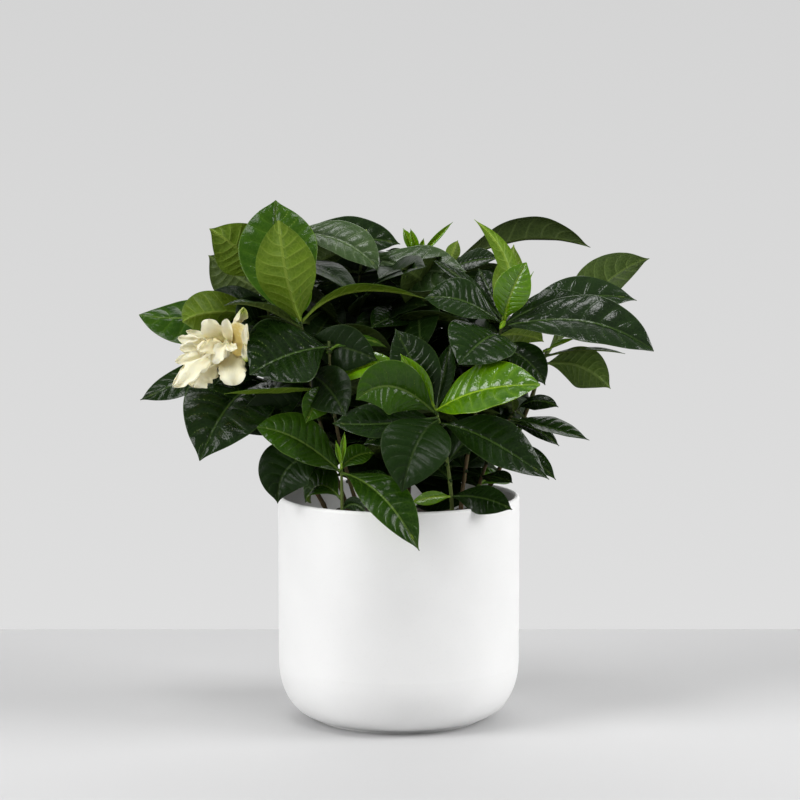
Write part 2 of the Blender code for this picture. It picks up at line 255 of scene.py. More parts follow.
def grown_spine(base, turn, rise, droop, length, width, fold, faces=UP_FRONT):
    """A blade that leaves its base at this turn and rise and bends down by droop on its way to the tip.

    The angles are in degrees. Each half is lifted by fold about the midrib, and faces is where the upper
    side looks.
    """
    middle = base + aimed(turn, rise - droop / 4) * length / 2
    tip = middle + aimed(turn, rise - droop * 3 / 4) * length / 2
    bend = 2 * middle - (base + tip) / 2
    near, far = base + (bend - base) * 2 / 3, tip + (bend - tip) * 2 / 3
    t = STATIONS[:, None]
    s = 1 - t
    middles = base * s**3 + near * 3 * s * s * t + far * 3 * s * t * t + tip * t**3
    slope = (near - base) * s * s + (far - near) * 2 * s * t + (tip - far) * t * t
    return Spine(middles, unit(np.cross(slope, faces)), width, math.radians(fold))


# ---------------------------------------------------------------- meshes


def new_piece(name, points, faces, materials, sides=None, maps=None):
    """A smooth mesh object. sides numbers each face's material, and maps has a UV pair for each point."""
    mesh = bpy.data.meshes.new(name)
    mesh.from_pydata(points.tolist(), [], faces)
    loops = np.empty(len(mesh.loops), np.int32)
    mesh.loops.foreach_get("vertex_index", loops)
    for label, values in (maps or {}).items():
        layer = mesh.uv_layers.new(name=label)
        layer.data.foreach_set("uv", values[loops].astype(np.float32).ravel())
    for material in materials:
        mesh.materials.append(material)
    if sides is not None:
        mesh.polygons.foreach_set("material_index", sides.astype(np.int32))
    mesh.shade_smooth()
    piece = bpy.data.objects.new(name, mesh)
    bpy.context.scene.collection.objects.link(piece)
    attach(piece, "root")
    return piece


def grid_faces(rows, columns, start, flip):
    i, j = np.meshgrid(np.arange(rows - 1), np.arange(columns - 1), indexing="ij")
    a = (start + i * columns + j).ravel()
    quads = np.stack((a, a + 1, a + columns + 1, a + columns), axis=1)
    return quads[:, ::-1] if flip else quads


class Sheet(NamedTuple):
    """A thin closed sheet between two grids of points, with UV maps given point by point."""

    upper: np.ndarray
    under: np.ndarray
    maps: dict
    look: tuple  # the materials of its upper and its under side


def sheet_faces(rows, columns):
    """The faces of a sheet, and 0 or 1 for each face's side."""
    count = rows * columns
    edge = np.concatenate((
        np.arange(columns),
        np.arange(1, rows) * columns + columns - 1,
        (rows - 1) * columns + np.arange(columns - 2, -1, -1),
        np.arange(rows - 2, 0, -1) * columns,
    ))
    after = np.roll(edge, -1)
    rim = np.stack((edge, edge + count, after + count, after), axis=1)
    upper, under = grid_faces(rows, columns, 0, False), grid_faces(rows, columns, count, True)
    sides = np.concatenate((np.zeros(len(upper), int), np.ones(len(under), int), np.zeros(len(rim), int)))
    return np.concatenate((upper, under, rim)), sides


def sheet_piece(name, sheets):
    """One object of one or more sheets, each with the two materials of its look."""
    points, faces, sides, materials = [], [], [], []
    maps = {label: [] for label in sheets[0].maps}
    start = 0
    for sheet in sheets:
        rows, columns = sheet.upper.shape[:2]
        quads, side = sheet_faces(rows, columns)
        if sheet.look[0] not in materials:
            materials += sheet.look
        faces += (quads + start).tolist()
        sides.append(side + materials.index(sheet.look[0]))
        points += [sheet.upper.reshape(-1, 3), sheet.under.reshape(-1, 3)]
        for label, values in sheet.maps.items():
            maps[label] += [values.reshape(-1, 2)] * 2
        start += 2 * rows * columns
    maps = {label: np.concatenate(values) for label, values in maps.items()}
    return new_piece(name, np.concatenate(points), faces, materials, np.concatenate(sides), maps)


def ring_walls(rows, sides):
    """The faces between closed rings of points."""
    i, j = np.meshgrid(np.arange(rows - 1), np.arange(sides), indexing="ij")
    a, b = (i * sides + j).ravel(), (i * sides + (j + 1) % sides).ravel()
    return np.stack((a, b, b + sides, a + sides), axis=1).tolist()


def turned_piece(name, rings, material):
    """A round object of rings of points, one row a ring."""
    return new_piece(name, rings.reshape(-1, 3), ring_walls(*rings.shape[:2]), (material,))


def tube_piece(name, centres, radii, material):
    """A closed tube round a line of points, its rings carried along without twist.

    radii has a row for each ring.
    """
    heading = unit(np.gradient(centres, axis=0))
    across = unit(np.cross(heading[0], (0.13, 0.97, 0.21)))
    side = []
    for h in heading:
        across = unit(across - h * (across @ h))
        side.append(across)
    side = np.array(side)
    other = np.cross(heading, side)
    rows, sides = radii.shape
    turn = round_turn(sides)[:, None]
    ring = side[:, None] * np.cos(turn) + other[:, None] * np.sin(turn)
    rings = centres[:, None] + ring * radii[..., None]
    points = np.concatenate((rings.reshape(-1, 3), centres[:1], centres[-1:]))
    corner = np.arange(sides)
    after = (corner + 1) % sides
    last = (rows - 1) * sides
    foot = np.stack((np.full(sides, rows * sides), after, corner), axis=1)
    top = np.stack((np.full(sides, rows * sides + 1), last + corner, last + after), axis=1)
    return new_piece(name, points, ring_walls(rows, sides) + foot.tolist() + top.tolist(), (material,))


# ---------------------------------------------------------------- materials


class Graph:
    """A material's node tree, written as expressions."""

    def __init__(self, name):
        self.material = bpy.data.materials.new(name)
        self.material.use_nodes = True
        self.tree = self.material.node_tree
        self.shader = self.tree.nodes["Principled BSDF"]
        self.seats = {}

    def put(self, socket, value):
        if isinstance(value, bpy.types.NodeSocket):
            self.tree.links.new(value, socket)
        elif socket.type == "RGBA":
            socket.default_value = (*value, 1.0)
        else:
            socket.default_value = value

    def set(self, **inputs):
        for label, value in inputs.items():
            self.put(self.shader.inputs[label.replace("_", " ")], value)

    def node(self, kind, inputs, **settings):
        """The outputs of a new node with these inputs, by name or by place."""
        node = self.tree.nodes.new("ShaderNode" + kind)
        for label, value in settings.items():
            setattr(node, label, value)
        for key, value in inputs.items():
            self.put(node.inputs[key], value)
        return node.outputs

    def math(self, operation, a, b=0.0, clamp=False):
        return self.node("Math", {0: a, 1: b}, operation=operation, use_clamp=clamp)[0]

    def plus(self, a, b, clamp=False):
        return self.math("ADD", a, b, clamp)

    def times(self, a, b, clamp=False):
        return self.math("MULTIPLY", a, b, clamp)

    def ramp(self, value, low, high, start=0.0, end=1.0, shape="SMOOTHSTEP"):
        inputs = dict(enumerate((value, low, high, start, end)))
        return self.node("MapRange", inputs, interpolation_type=shape)[0]

    def mix(self, share, a, b):
        return self.node("Mix", {0: share, 6: a, 7: b}, data_type="RGBA")[2]

    def place(self):
        if "place" not in self.seats:
            self.seats["place"] = self.node("TexCoord", {})["Object"]
        return self.seats["place"]

    def parts(self, vector):
        return self.node("SeparateXYZ", {0: vector})

    def uv(self, label):
        """The two coordinates of a UV map."""
        if label not in self.seats:
            self.seats[label] = self.parts(self.node("UVMap", {}, uv_map=label)[0])[:2]
        return self.seats[label]

    def noise(self, scale, detail=3.0, rough=0.5, stretch=None):
        place = self.place()
        if stretch:
            place = self.node("Mapping", {"Vector": place, "Scale": stretch})[0]
        inputs = {"Vector": place, "Scale": scale, "Detail": detail, "Roughness": rough}
        return self.node("TexNoise", inputs)[0]

    def cells(self, scale, feature="DISTANCE_TO_EDGE"):
        return self.node("TexVoronoi", {"Vector": self.place(), "Scale": scale}, feature=feature)[0]

    def bump(self, height, distance, strength, normal=None):
        inputs = {"Strength": strength, "Distance": distance, "Height": height}
        if normal is not None:
            inputs["Normal"] = normal
        return self.node("Bump", inputs)[0]


def blade_pattern(g):
    """Where a spot lies on a blade.

    Its share of the way to the margin and to the tip, and how far it is from a side vein and from the midrib.
    """
    across, along = g.uv("blade")
    phase, off = g.uv("veins")
    outward = g.math("ABSOLUTE", g.math("SUBTRACT", g.times(across, 2.0), 1.0))
    return outward, along, g.math("PINGPONG", phase, 0.5), g.math("ABSOLUTE", off)


def leaf_upper(name, dark, light, vein, rough, gloss, contrast):
    g = Graph(name)
    outward, along, to_vein, to_midrib = blade_pattern(g)
    tone = g.uv("tone")[0]
    lateral = g.times(g.ramp(to_vein, 0.015, 0.11, 1.0, 0.0), g.ramp(outward, 0.55, 0.98, 1.0, 0.0))
    midrib = g.ramp(to_midrib, 0.0035, 0.0095, 1.0, 0.0)
    net = g.ramp(g.cells(330.0), 0.0, 0.16, 1.0, 0.0)
    patches = g.times(g.math("SUBTRACT", g.noise(46.0, 3.0, 0.6), 0.5), 1.3)
    colour = g.mix(g.plus(patches, tone, clamp=True), dark, light)
    colour = g.mix(g.times(g.ramp(to_vein, 0.0, 0.34, 1.0, 0.0), 0.30), colour, light)
    faded = g.ramp(g.noise(70.0, 2.0), 0.3, 0.7, contrast * 0.3, contrast)
    colour = g.mix(g.times(lateral, faded), colour, vein)
    colour = g.mix(g.times(g.times(net, 0.16), g.noise(420.0, 2.0, 0.6)), colour, vein)
    colour = g.mix(g.times(midrib, g.ramp(along, 0.55, 1.0, 0.92, 0.35)), colour, vein)
    colour = g.mix(g.times(g.ramp(outward, 0.955, 0.99), 0.5), colour, vein)
    hollow = g.plus(g.times(lateral, 0.9), g.times(net, 0.25))
    skin = g.bump(g.noise(1500.0, 2.0, 0.7), 0.00004, 0.35)
    relief = g.bump(g.math("SUBTRACT", 1.0, hollow), 0.00022, 0.75, skin)
    swell = g.bump(g.noise(120.0, 2.0, 0.5), 0.0007, 0.5, relief)
    roughness = g.plus(g.times(g.noise(90.0, 3.0, 0.6), 0.14), rough - 0.07)
    g.set(Base_Color=colour, Roughness=roughness, Normal=swell, Specular_IOR_Level=gloss)
    return g.material


def leaf_under(name, pale, deep, vein):
    g = Graph(name)
    outward, along, to_vein, to_midrib = blade_pattern(g)
    lateral = g.times(g.ramp(to_vein, 0.02, 0.12, 1.0, 0.0), g.ramp(outward, 0.6, 1.0, 1.0, 0.15))
    midrib = g.ramp(to_midrib, 0.005, 0.012, 1.0, 0.0)
    net = g.ramp(g.cells(300.0), 0.0, 0.2, 1.0, 0.0)
    colour = g.mix(g.noise(60.0, 4.0, 0.6), pale, deep)
    for share, pattern in ((0.22, net), (0.55, lateral), (0.9, midrib)):
        colour = g.mix(g.times(pattern, share), colour, vein)
    skin = g.bump(g.noise(1200.0, 2.0, 0.6), 0.00004, 0.4)
    relief = g.bump(g.plus(lateral, g.times(net, 0.4)), 0.0002, 0.8, skin)
    g.set(Base_Color=colour, Roughness=g.ramp(g.noise(140.0), 0.2, 0.8, 0.42, 0.58), Normal=relief)
    g.set(Specular_IOR_Level=0.2)
    return g.material


def petal_material(name, pale, tan_colour, tip):
    g = Graph(name)
    outward, along, to_line, to_midrib = blade_pattern(g)
    tan_share, green = g.uv("tone")
    streaks = g.noise(300.0, 3.0, 0.6)
    lines = g.ramp(to_line, 0.05, 0.3, 1.0, 0.0)
    blotch = g.ramp(g.noise(85.0, 4.0, 0.65), 0.42, 0.78)
    # tan in blotches, strongest at the petal's foot and fading towards its end
    spread = g.times(g.plus(blotch, g.ramp(along, 0.0, 0.9, 1.0, 0.1)), tan_share, clamp=True)
    colour = g.mix(spread, pale, tan_colour)
    colour = g.mix(g.times(lines, 0.10), colour, tan_colour)
    colour = g.mix(g.times(g.ramp(along, 0.62, 0.98), green, clamp=True), colour, tip)
    colour = g.mix(g.times(g.ramp(along, 0.10, 0.0), 0.5), colour, tip)
    raised = g.plus(g.times(lines, 0.5), g.times(streaks, 0.6))
    relief = g.bump(raised, 0.00018, 0.6, g.bump(g.noise(110.0, 3.0, 0.6), 0.0007, 0.5))
    g.set(Base_Color=colour, Roughness=g.ramp(streaks, 0.2, 0.8, 0.42, 0.56), Normal=relief)
    g.set(Subsurface_Weight=0.25, Subsurface_Radius=(0.004, 0.003, 0.0015), Subsurface_Scale=0.6)
    return g.material


def stem_material(name, young, bark, scar):
    g = Graph(name)
    height = g.parts(g.place())[2]
    ridges = g.noise(260.0, 4.0, 0.65, (3.0, 3.0, 0.5))
    spots = g.ramp(g.cells(420.0, "F1"), 0.10, 0.35, 1.0, 0.0)
    ripe = g.plus(g.ramp(height, 0.14, 0.27, 0.75, 0.0), g.ramp(ridges, 0.35, 0.7, -0.2, 0.45), clamp=True)
    colour = g.mix(ripe, young, bark)
    colour = g.mix(g.times(spots, 0.45), colour, scar)
    relief = g.bump(g.plus(ridges, g.times(spots, 0.4)), 0.0004, 0.8)
    g.set(Base_Color=colour, Roughness=g.ramp(ridges, 0.2, 0.8, 0.5, 0.75), Normal=relief)
    g.set(Specular_IOR_Level=0.2)
    return g.material


def soil_material(name):
    g = Graph(name)
    lumps = g.noise(130.0, 6.0, 0.7)
    grains = g.cells(520.0, "F1")
    colour = g.mix(g.ramp(lumps, 0.3, 0.7), (0.012, 0.008, 0.005), (0.055, 0.036, 0.022))
    colour = g.mix(g.ramp(g.noise(700.0, 2.0), 0.66, 0.72), colour, (0.20, 0.15, 0.10))
    relief = g.bump(g.plus(lumps, g.times(grains, 0.5)), 0.0025, 0.9)
    g.set(Base_Color=colour, Roughness=g.ramp(grains, 0.0, 0.7, 0.95, 0.75), Normal=relief)
    return g.material


def ceramic_material(name):
    g = Graph(name)
    cloud = g.noise(14.0, 3.0, 0.5)
    speck = g.noise(900.0, 3.0, 0.6)
    colour = g.mix(g.ramp(cloud, 0.3, 0.7), (0.83, 0.83, 0.825), (0.87, 0.87, 0.865))
    colour = g.mix(g.times(g.ramp(speck, 0.55, 0.8), 0.25), colour, (0.70, 0.695, 0.68))
    relief = g.bump(speck, 0.00006, 0.5, g.bump(g.noise(45.0, 2.0), 0.0003, 0.35))
    g.set(Base_Color=colour, Roughness=g.ramp(g.noise(60.0, 3.0), 0.3, 0.7, 0.46, 0.56), Normal=relief)
    return g.material


# The upper and the under side of each kind of leaf: its dark, light and vein colours, then its finish.
DARK = (
    leaf_upper(
        "leaf_dark", (0.0035, 0.0105, 0.0014), (0.011, 0.032, 0.004), (0.045, 0.085, 0.016),
        rough=0.17, gloss=0.20, contrast=0.14,
    ),
    leaf_under("leaf_dark_under", (0.050, 0.080, 0.010), (0.024, 0.044, 0.005), (0.090, 0.130, 0.026)),
)
SHINY = (
    leaf_upper(
        "leaf_shiny", (0.0035, 0.0105, 0.0014), (0.012, 0.033, 0.005), (0.045, 0.085, 0.016),
        rough=0.16, gloss=0.32, contrast=0.14,
    ),
    DARK[1],
)
# A darker, duller copy of the dark leaf, upper and under side: painted shade for the leaves deep inside the
# crown and for a few dark ones in front.
PAINTED_SHADE = (
    leaf_upper(
        "leaf_painted_shade", (0.0030, 0.0085, 0.0012), (0.008, 0.023, 0.003), (0.030, 0.055, 0.012),
        rough=0.30, gloss=0.12, contrast=0.14,
    ),
    leaf_under("leaf_painted_shade_under", (0.034, 0.056, 0.007), (0.016, 0.030, 0.004), (0.060, 0.090, 0.018)),
)
# An upper side lighter and greyer than the dark leaf's: a painted sheen on top of its real gloss. Its under
# side is a darker olive.
PAINTED_SHEEN = (
    leaf_upper(
        "leaf_sheen", (0.020, 0.050, 0.009), (0.060, 0.100, 0.030), (0.130, 0.190, 0.080),
        rough=0.26, gloss=0.40, contrast=0.35,
    ),
    leaf_under("leaf_sheen_under", (0.070, 0.120, 0.014), (0.034, 0.066, 0.007), (0.120, 0.180, 0.035)),
)
GREEN = (
    leaf_upper(
        "leaf_green", (0.014, 0.048, 0.002), (0.046, 0.115, 0.005), (0.110, 0.190, 0.022),
        rough=0.18, gloss=0.16, contrast=0.20,
    ),
    leaf_under("leaf_green_under", (0.125, 0.205, 0.008), (0.060, 0.118, 0.004), (0.190, 0.270, 0.030)),
)
FRESH = (
    leaf_upper(
        "leaf_even", (0.0080, 0.0280, 0.0014), (0.026, 0.072, 0.0032), (0.100, 0.170, 0.026),
        rough=0.17, gloss=0.18, contrast=0.10,
    ),
    GREEN[1],
)
BRIGHT = (
    leaf_upper(
        "leaf_bright", (0.022, 0.085, 0.0006), (0.115, 0.265, 0.0025), (0.260, 0.420, 0.015),
        rough=0.10, gloss=0.50, contrast=0.16,
    ),
    leaf_under("leaf_bright_under", (0.130, 0.245, 0.008), (0.070, 0.145, 0.004), (0.230, 0.350, 0.035)),
)
PETAL_SKIN = petal_material("petal_cream", (0.97, 0.93, 0.69), (0.76, 0.59, 0.20), (0.40, 0.50, 0.04))
STEM_WOOD = stem_material("stem_bark", (0.055, 0.085, 0.018), (0.095, 0.052, 0.028), (0.220, 0.150, 0.085))
STEM_YOUNG = stem_material("stem_skin", (0.110, 0.190, 0.026), (0.085, 0.105, 0.026), (0.220, 0.260, 0.085))
LOOKS = {"leaf_mature": DARK, "leaf_fresh": GREEN, "leaf_young": BRIGHT}


# ---------------------------------------------------------------- blades


def cad_leaf_outline(t):
    return math.sin(math.pi * t**1.1)


def cad_petal_outline(t):
    return max(0.0, math.sin(math.pi * t**1.5)) ** 0.6


def leaf_outline(t, blunt):
    """Half width as a share: a wedge at the foot, a full middle and a point, both softer on a blunt leaf."""
    wedge = 1 - 0.30 * (1 - blunt) * np.exp(-((t / 0.15) ** 2))
    point = 1 - 0.50 * (1 - 0.7 * blunt) * np.exp(-(((1 - t) / 0.07) ** 2))
    return np.sin(np.pi * np.clip(t, 0, 1) ** 1.1).clip(0) ** (1 - 0.25 * blunt) * wedge * point


def across_steps(count):
    """Shares from margin to margin, close together at the midrib and at the margins."""
    u = np.linspace(0, 1, count)
    half = 0.55 * u**1.7 + 0.45 * (1 - (1 - u) ** 1.6)
    half = np.insert(half, -1, 0.975)
    return np.concatenate((-half[:0:-1], half))


def blade_maps(s, t, phase, off, tone, green=0.0):
    """The UV maps that the blade materials read."""
    shape = np.broadcast_shapes(t.shape, s.shape)
    pairs = {"blade": (s * 0.5 + 0.5, t), "veins": (phase, off * 10), "tone": (tone, green)}
    return {k: np.stack([np.broadcast_to(v, shape) for v in pair], axis=-1) for k, pair in pairs.items()}


STALK = 0.0024  # how far a leaf runs back past the foot of its blade, into the stem
FINE, MEDIUM, COARSE = (66, 11), (40, 7), (28, 5)  # a leaf's rows along it, and steps out to each margin


def leaf_sheet(spine, look, rng, grid, tone, blunt=0.0):
    """A gardenia leaf: stalk, midrib, side veins that curve forward, and soft swellings between them."""
    rows, columns = grid
    back = -STALK / np.linalg.norm(spine.curve[2])
    t = np.concatenate(((back,), np.linspace(0, 1, rows - 1) ** 1.05))
    s = across_steps(columns)[None, :]
    centre, side, above = spine.frames(t)
    t = t[:, None]
    half = spine.width / 2 * leaf_outline(t, blunt)
    stalk = np.interp(t, (-0.1, 0.05, 0.16, 0.9, 1.0), (0.0010, 0.0009, 0.0006, 0.0002, 0.0002))
    half = np.maximum(half * (1 + 0.03 * np.sign(s) * rng.uniform(-1, 1)), stalk)
    inner = np.abs(s)
    # side veins in pairs, the left ones a third of a step behind, with a swelling between neighbours
    pairs = rng.integers(8, 11)
    sweep = 0.20 * inner**1.35 * (1 - 0.55 * t)
    phase = pairs * (t - sweep) + np.where(s < 0, 0.34, 0.0) + 0.10 * np.sin(9 * t + 4 * s)
    groove = np.abs(np.sin(np.pi * phase)) ** 0.75
    held = np.clip((t - 0.05) / 0.1, 0, 1) * np.clip((1 - t) / 0.1, 0, 1)
    swell = 0.00085 * (spine.width / 0.04) * groove * held
    swell = swell * np.clip(inner / 0.12, 0, 1) * np.clip((1.05 - inner) / 0.5, 0, 1)
    # a slow wave down each margin, and halves that lift like a gull's wings
    wave = rng.uniform(0.5, 1.0) * 0.030 * half * inner**2.2
    wave = wave * np.sin(2 * np.pi * (rng.uniform(2.2, 3.4) * t + rng.uniform(0, 1) + 0.25 * np.sign(s)))
    gull = half * math.sin(spine.fold) * (inner + 0.45 * inner * (1 - inner**2))
    rise = gull + wave + swell
    # the midrib: sunken above, a keel below, and round where it becomes the stalk
    off = s * half
    trough = -0.00035 * np.exp(-((off / 0.0011) ** 2)) * held
    reach = np.interp(t, (-0.1, 0.08, 0.3, 1.0), (0.0010, 0.0009, 0.0007, 0.0003))
    rounding = np.sqrt(np.clip(1 - (off / reach) ** 2, 0, 1))
    keel = rounding * np.interp(t, (-0.1, 0.1, 0.5, 1.0), (0.0013, 0.0009, 0.0005, 0.0001))
    crest = rounding * np.interp(t, (-0.1, 0.04, 0.12), (0.0007, 0.0006, 0.0))
    spread = centre[:, None] + side[:, None] * (off * math.cos(spine.fold))[..., None]
    upper = spread + above[:, None] * (rise + trough + 0.00012 + crest)[..., None]
    under = spread + above[:, None] * (rise - 0.00014 - keel)[..., None]
    return Sheet(upper, under, blade_maps(s, t, phase, off, tone), look)


def petal_outline(t, foot):
    """Half width as a share: a narrower foot, a broad upper half and a round end."""
    widening = np.clip(t / 0.5, 0, 1)
    widening = widening * widening * (3 - 2 * widening)
    end = np.sqrt(np.clip(1 - (np.clip(t - 0.66, 0, 1) / 0.34) ** 2, 0, 1))
    return (foot + (1 - foot) * widening) * end


PETAL_LINES = 9  # fine lines along each half of a petal
PETAL_GRID = (44, 11)  # rows and steps, as a leaf's


def petal_sheet(spine, rng, own):
    """A soft petal: rolled across by wrap, wavy and torn at its margin, and curled back at the end."""
    t = np.linspace(0, 1, PETAL_GRID[0])
    s = across_steps(PETAL_GRID[1])[None, :]
    centre, side, above = spine.frames(t)
    t = t[:, None]
    inner = np.abs(s)
    tear = np.sin(19 * t + 4 * np.sign(s) + rng.uniform(0, 6)) * np.sin(8 * t + rng.uniform(0, 6))
    tear = 1 + own.ruffle * (0.08 * tear + 0.022 * np.sin(47 * t + 2 * np.sign(s)))
    half = np.maximum(spine.width / 2 * petal_outline(t, own.foot) * tear, 0.0005)
    bend = own.wrap * np.interp(t, (0, 0.5, 1), (1.3, 1.0, 0.75))
    turn = s * bend
    out = half * np.sin(turn) / bend
    lift = half * (1 - np.cos(turn)) / bend
    edge = np.clip(inner - 0.5, 0, 1) / 0.5
    curl = -0.16 * half * edge**2 * own.ruffle * (1 + 0.8 * np.sin(7 * t + 3 * s + rng.uniform(0, 6)))
    soft = 0.0009 * own.ruffle * np.sin(12 * t + rng.uniform(0, 6) + 2.2 * s) * edge
    fold = 0.0005 * own.ruffle * np.sin(5 * s + 3 * t + rng.uniform(0, 6)) * np.sin(4 * t + rng.uniform(0, 6))
    tip = np.clip((t - 0.70) / 0.30, 0, 1) ** 2
    rise = lift + curl + soft + fold - own.curl * half * tip
    shorter = own.notch * np.exp(-((s / 0.2) ** 2)) * tip * spine.width * 0.3
    heading = np.cross(above, side)
    thick = np.interp(t, (0, 0.3, 1), (0.0006, 0.0004, 0.00022)) * np.sqrt(np.clip(1 - inner**4 * 0.8, 0, 1))
    spread = centre[:, None] + side[:, None] * out[..., None] - heading[:, None] * shorter[..., None]
    upper = spread + above[:, None] * (rise + thick)[..., None]
    under = spread + above[:, None] * (rise - thick)[..., None]
    maps = blade_maps(s, t, s * PETAL_LINES, s * half, own.tan_share, own.green)
    return Sheet(upper, under, maps, (PETAL_SKIN, PETAL_SKIN))


def own_spine(node, thickness, outline, own):
    """A CAD node's spine with the width and the roll of its own shape."""
    spine = cad_spine(node, thickness, outline)
    spine.width *= own.width
    spine.roll = math.radians(own.roll)
    return spine


# ---------------------------------------------------------------- leaves of the CAD


class OwnShape(NamedTuple):
    """Where one leaf departs from the common shape and look."""

    width: float = 1.0  # share of its CAD width
    roll: float = 0.0  # degrees that it is turned about its midrib
    blunt: float = 0.0  # 1 for an oval leaf with a blunt tip
    look: tuple = ()
    tone: float = -1.0  # from 0, the dark end of its look, to 1, the light one; below 0, by chance


TOWARDS_VIEWER = -20  # degrees of roll
COMMON_TONES = (0.2, 0.6)  # from the dark end of a look to the light one
YOUNG_TONE = 0.9

OWN_SHAPES = {
    "leaf_left_1": OwnShape(width=0.95, blunt=0.4, tone=0.3),
    "leaf_left_2": OwnShape(width=0.92, blunt=1.0),
    "leaf_left_3": OwnShape(look=DARK, tone=0.2),
    "leaf_left_4": OwnShape(width=1.3, blunt=0.3, tone=0.15),
    "leaf_left_5": OwnShape(width=0.72),
    "leaf_far_left_1": OwnShape(blunt=0.9, tone=0.2),
    "leaf_far_left_2": OwnShape(blunt=0.8),
    "leaf_far_left_4": OwnShape(blunt=0.3),
    "leaf_far_left_5": OwnShape(width=0.8),
    "leaf_far_left_6": OwnShape(blunt=0.4),
    "leaf_far_right_1": OwnShape(look=PAINTED_SHEEN),
    "leaf_far_right_2": OwnShape(look=PAINTED_SHEEN),
    "leaf_front_1": OwnShape(blunt=1.0),
    "leaf_front_2": OwnShape(blunt=0.4, look=PAINTED_SHADE, tone=1.0),
    "leaf_front_5": OwnShape(blunt=0.6, look=FRESH, tone=1.0),
    "leaf_low_left_1": OwnShape(width=1.08, blunt=1.0, look=FRESH, tone=0.6),
    "leaf_low_left_2": OwnShape(look=FRESH),
    "leaf_low_left_3": OwnShape(look=FRESH, tone=0.2),
    "leaf_low_left_4": OwnShape(look=PAINTED_SHADE, tone=0.6),
    "leaf_right_1": OwnShape(width=0.74, blunt=0.2, look=BRIGHT, tone=0.0),
    "leaf_right_2": OwnShape(blunt=0.8, tone=0.5),
    "leaf_right_3": OwnShape(look=SHINY),
    "leaf_right_4": OwnShape(blunt=0.8, look=SHINY),
    "leaf_right_5": OwnShape(blunt=0.7),
    "leaf_top_1": OwnShape(width=1.15, roll=TOWARDS_VIEWER, look=PAINTED_SHEEN),
    "leaf_top_3": OwnShape(width=1.15, roll=TOWARDS_VIEWER, blunt=0.4, look=PAINTED_SHEEN),
    "leaf_top_4": OwnShape(look=PAINTED_SHADE),
}


def make_leaves():
    slots = {p["node"]: p["material_slot"] for p in frame["record"]["subparts"]}
    for node in nodes_named("leaf_"):
        own = OWN_SHAPES.get(node, OwnShape())
        spine = own_spine(node, LEAF_THICKNESS, cad_leaf_outline, own)
        rng = seeded(node)
        tone = own.tone if own.tone >= 0 else rng.uniform(*COMMON_TONES)
        sheet = leaf_sheet(spine, own.look or LOOKS[slots[node]], rng, FINE, tone, own.blunt)
        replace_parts(sheet_piece("fine_" + node, [sheet]), node)


# ---------------------------------------------------------------- the flower


class PetalShape(NamedTuple):
    """How one petal of the old flower has curled, and how tan it is."""

    wrap: float = 0.6  # how far it is rolled across, in radians from its middle to its margin
    tan_share: float = 0.25  # share of tan
    green: float = 0.0  # how green its tip is
    ruffle: float = 1.0
    curl: float = 0.12  # how far its end bends back
    notch: float = 0.0  # depth of the notch in its end
    width: float = 1.0  # share of its CAD width
    foot: float = 0.34  # share of its width that it has at its foot
    roll: float = 0.0  # degrees that it is turned about its midrib


PETAL_SHAPES = {
    "petal_1": PetalShape(0.5, 0.15),
    "petal_2": PetalShape(1.0, 0.35, ruffle=0.6),
    "petal_3": PetalShape(2.3, 0.65, 0.9, ruffle=1.8, curl=-0.5, notch=1.2, width=1.3, foot=0.25, roll=-35),
    "petal_4": PetalShape(0.9, 1.6, ruffle=0.4, curl=-0.1, width=1.3, foot=0.5, roll=40),
    "petal_5": PetalShape(0.35, 0.30, ruffle=1.0, notch=0.1, width=0.95, foot=1.0),
    "petal_6": PetalShape(0.9, 0.35, ruffle=2.0, notch=0.7),
    "petal_7": PetalShape(0.9, 0.20, ruffle=1.6, notch=0.5),
    "petal_8": PetalShape(1.0, 0.25, ruffle=2.4, notch=1.2, width=1.1),
    "petal_9": PetalShape(0.7, 0.30, ruffle=2.6, notch=0.7, width=0.95),
}


# Each petal of the flower's heart: its foot, from the end of the calyx, then its turn, rise, droop, length,
# width and faces, as grown_spine takes them, and its shape.
HEART_PETALS = (
    ((0.0145, -0.013, -0.006), 90, 84, -10, 0.022, 0.0065, LEFT_FRONT, PetalShape(1.3, 0.1, ruffle=0.5)),
    ((0.013, -0.013, 0.003), -75, -66, 0, 0.012, 0.006, FRONT, PetalShape(1.0, 0.3, 1.0, ruffle=0.8)),
    ((0, -0.004, 0), 180, 28, 10, 0.027, 0.006, FRONT, PetalShape(0.9, 0.15, ruffle=1.4)),
    ((0, -0.006, -0.001), 184, 14, 0, 0.031, 0.0085, FRONT, PetalShape(0.8, 0.2, ruffle=2.0)),
    ((0.001, -0.008, 0.001), -150, 10, 30, 0.020, 0.011, FRONT, PetalShape(0.8, 0.45, ruffle=2.0)),
    ((0.002, -0.010, 0.003), -140, -35, 10, 0.017, 0.012, UP_FRONT, PetalShape(0.7, 0.1, ruffle=1.5)),
    ((0, -0.009, -0.002), 195, -28, 0, 0.034, 0.012, FRONT, PetalShape(0.9, 0.15, ruffle=2.2, notch=0.6)),
    ((0.004, -0.012, 0.003), -80, -25, 0, 0.009, 0.008, UP_FRONT, PetalShape(0.8, 0.25, ruffle=1.2)),
    ((0.001, -0.009, 0.006), -100, -80, 0, 0.013, 0.007, FRONT, PetalShape(1.2, 0.1, ruffle=0.6)),
)


def make_petals(centre):
    """The nine petals of the CAD, and one piece of smaller ones that stand round the calyx's end."""
    for node in nodes_named("petal_"):
        own = PETAL_SHAPES[node]
        spine = own_spine(node, PETAL_THICKNESS, cad_petal_outline, own)
        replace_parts(sheet_piece("fine_" + node, [petal_sheet(spine, seeded(node), own)]), node)
    rng = seeded("flower_heart")
    sheets = []
    for foot, turn, rise, droop, length, width, faces, shape in HEART_PETALS:
        spine = grown_spine(centre + foot, turn, rise, droop, length, width, 0, faces)
        sheets.append(petal_sheet(spine, rng, shape))
    sheet_piece("flower_heart", sheets)
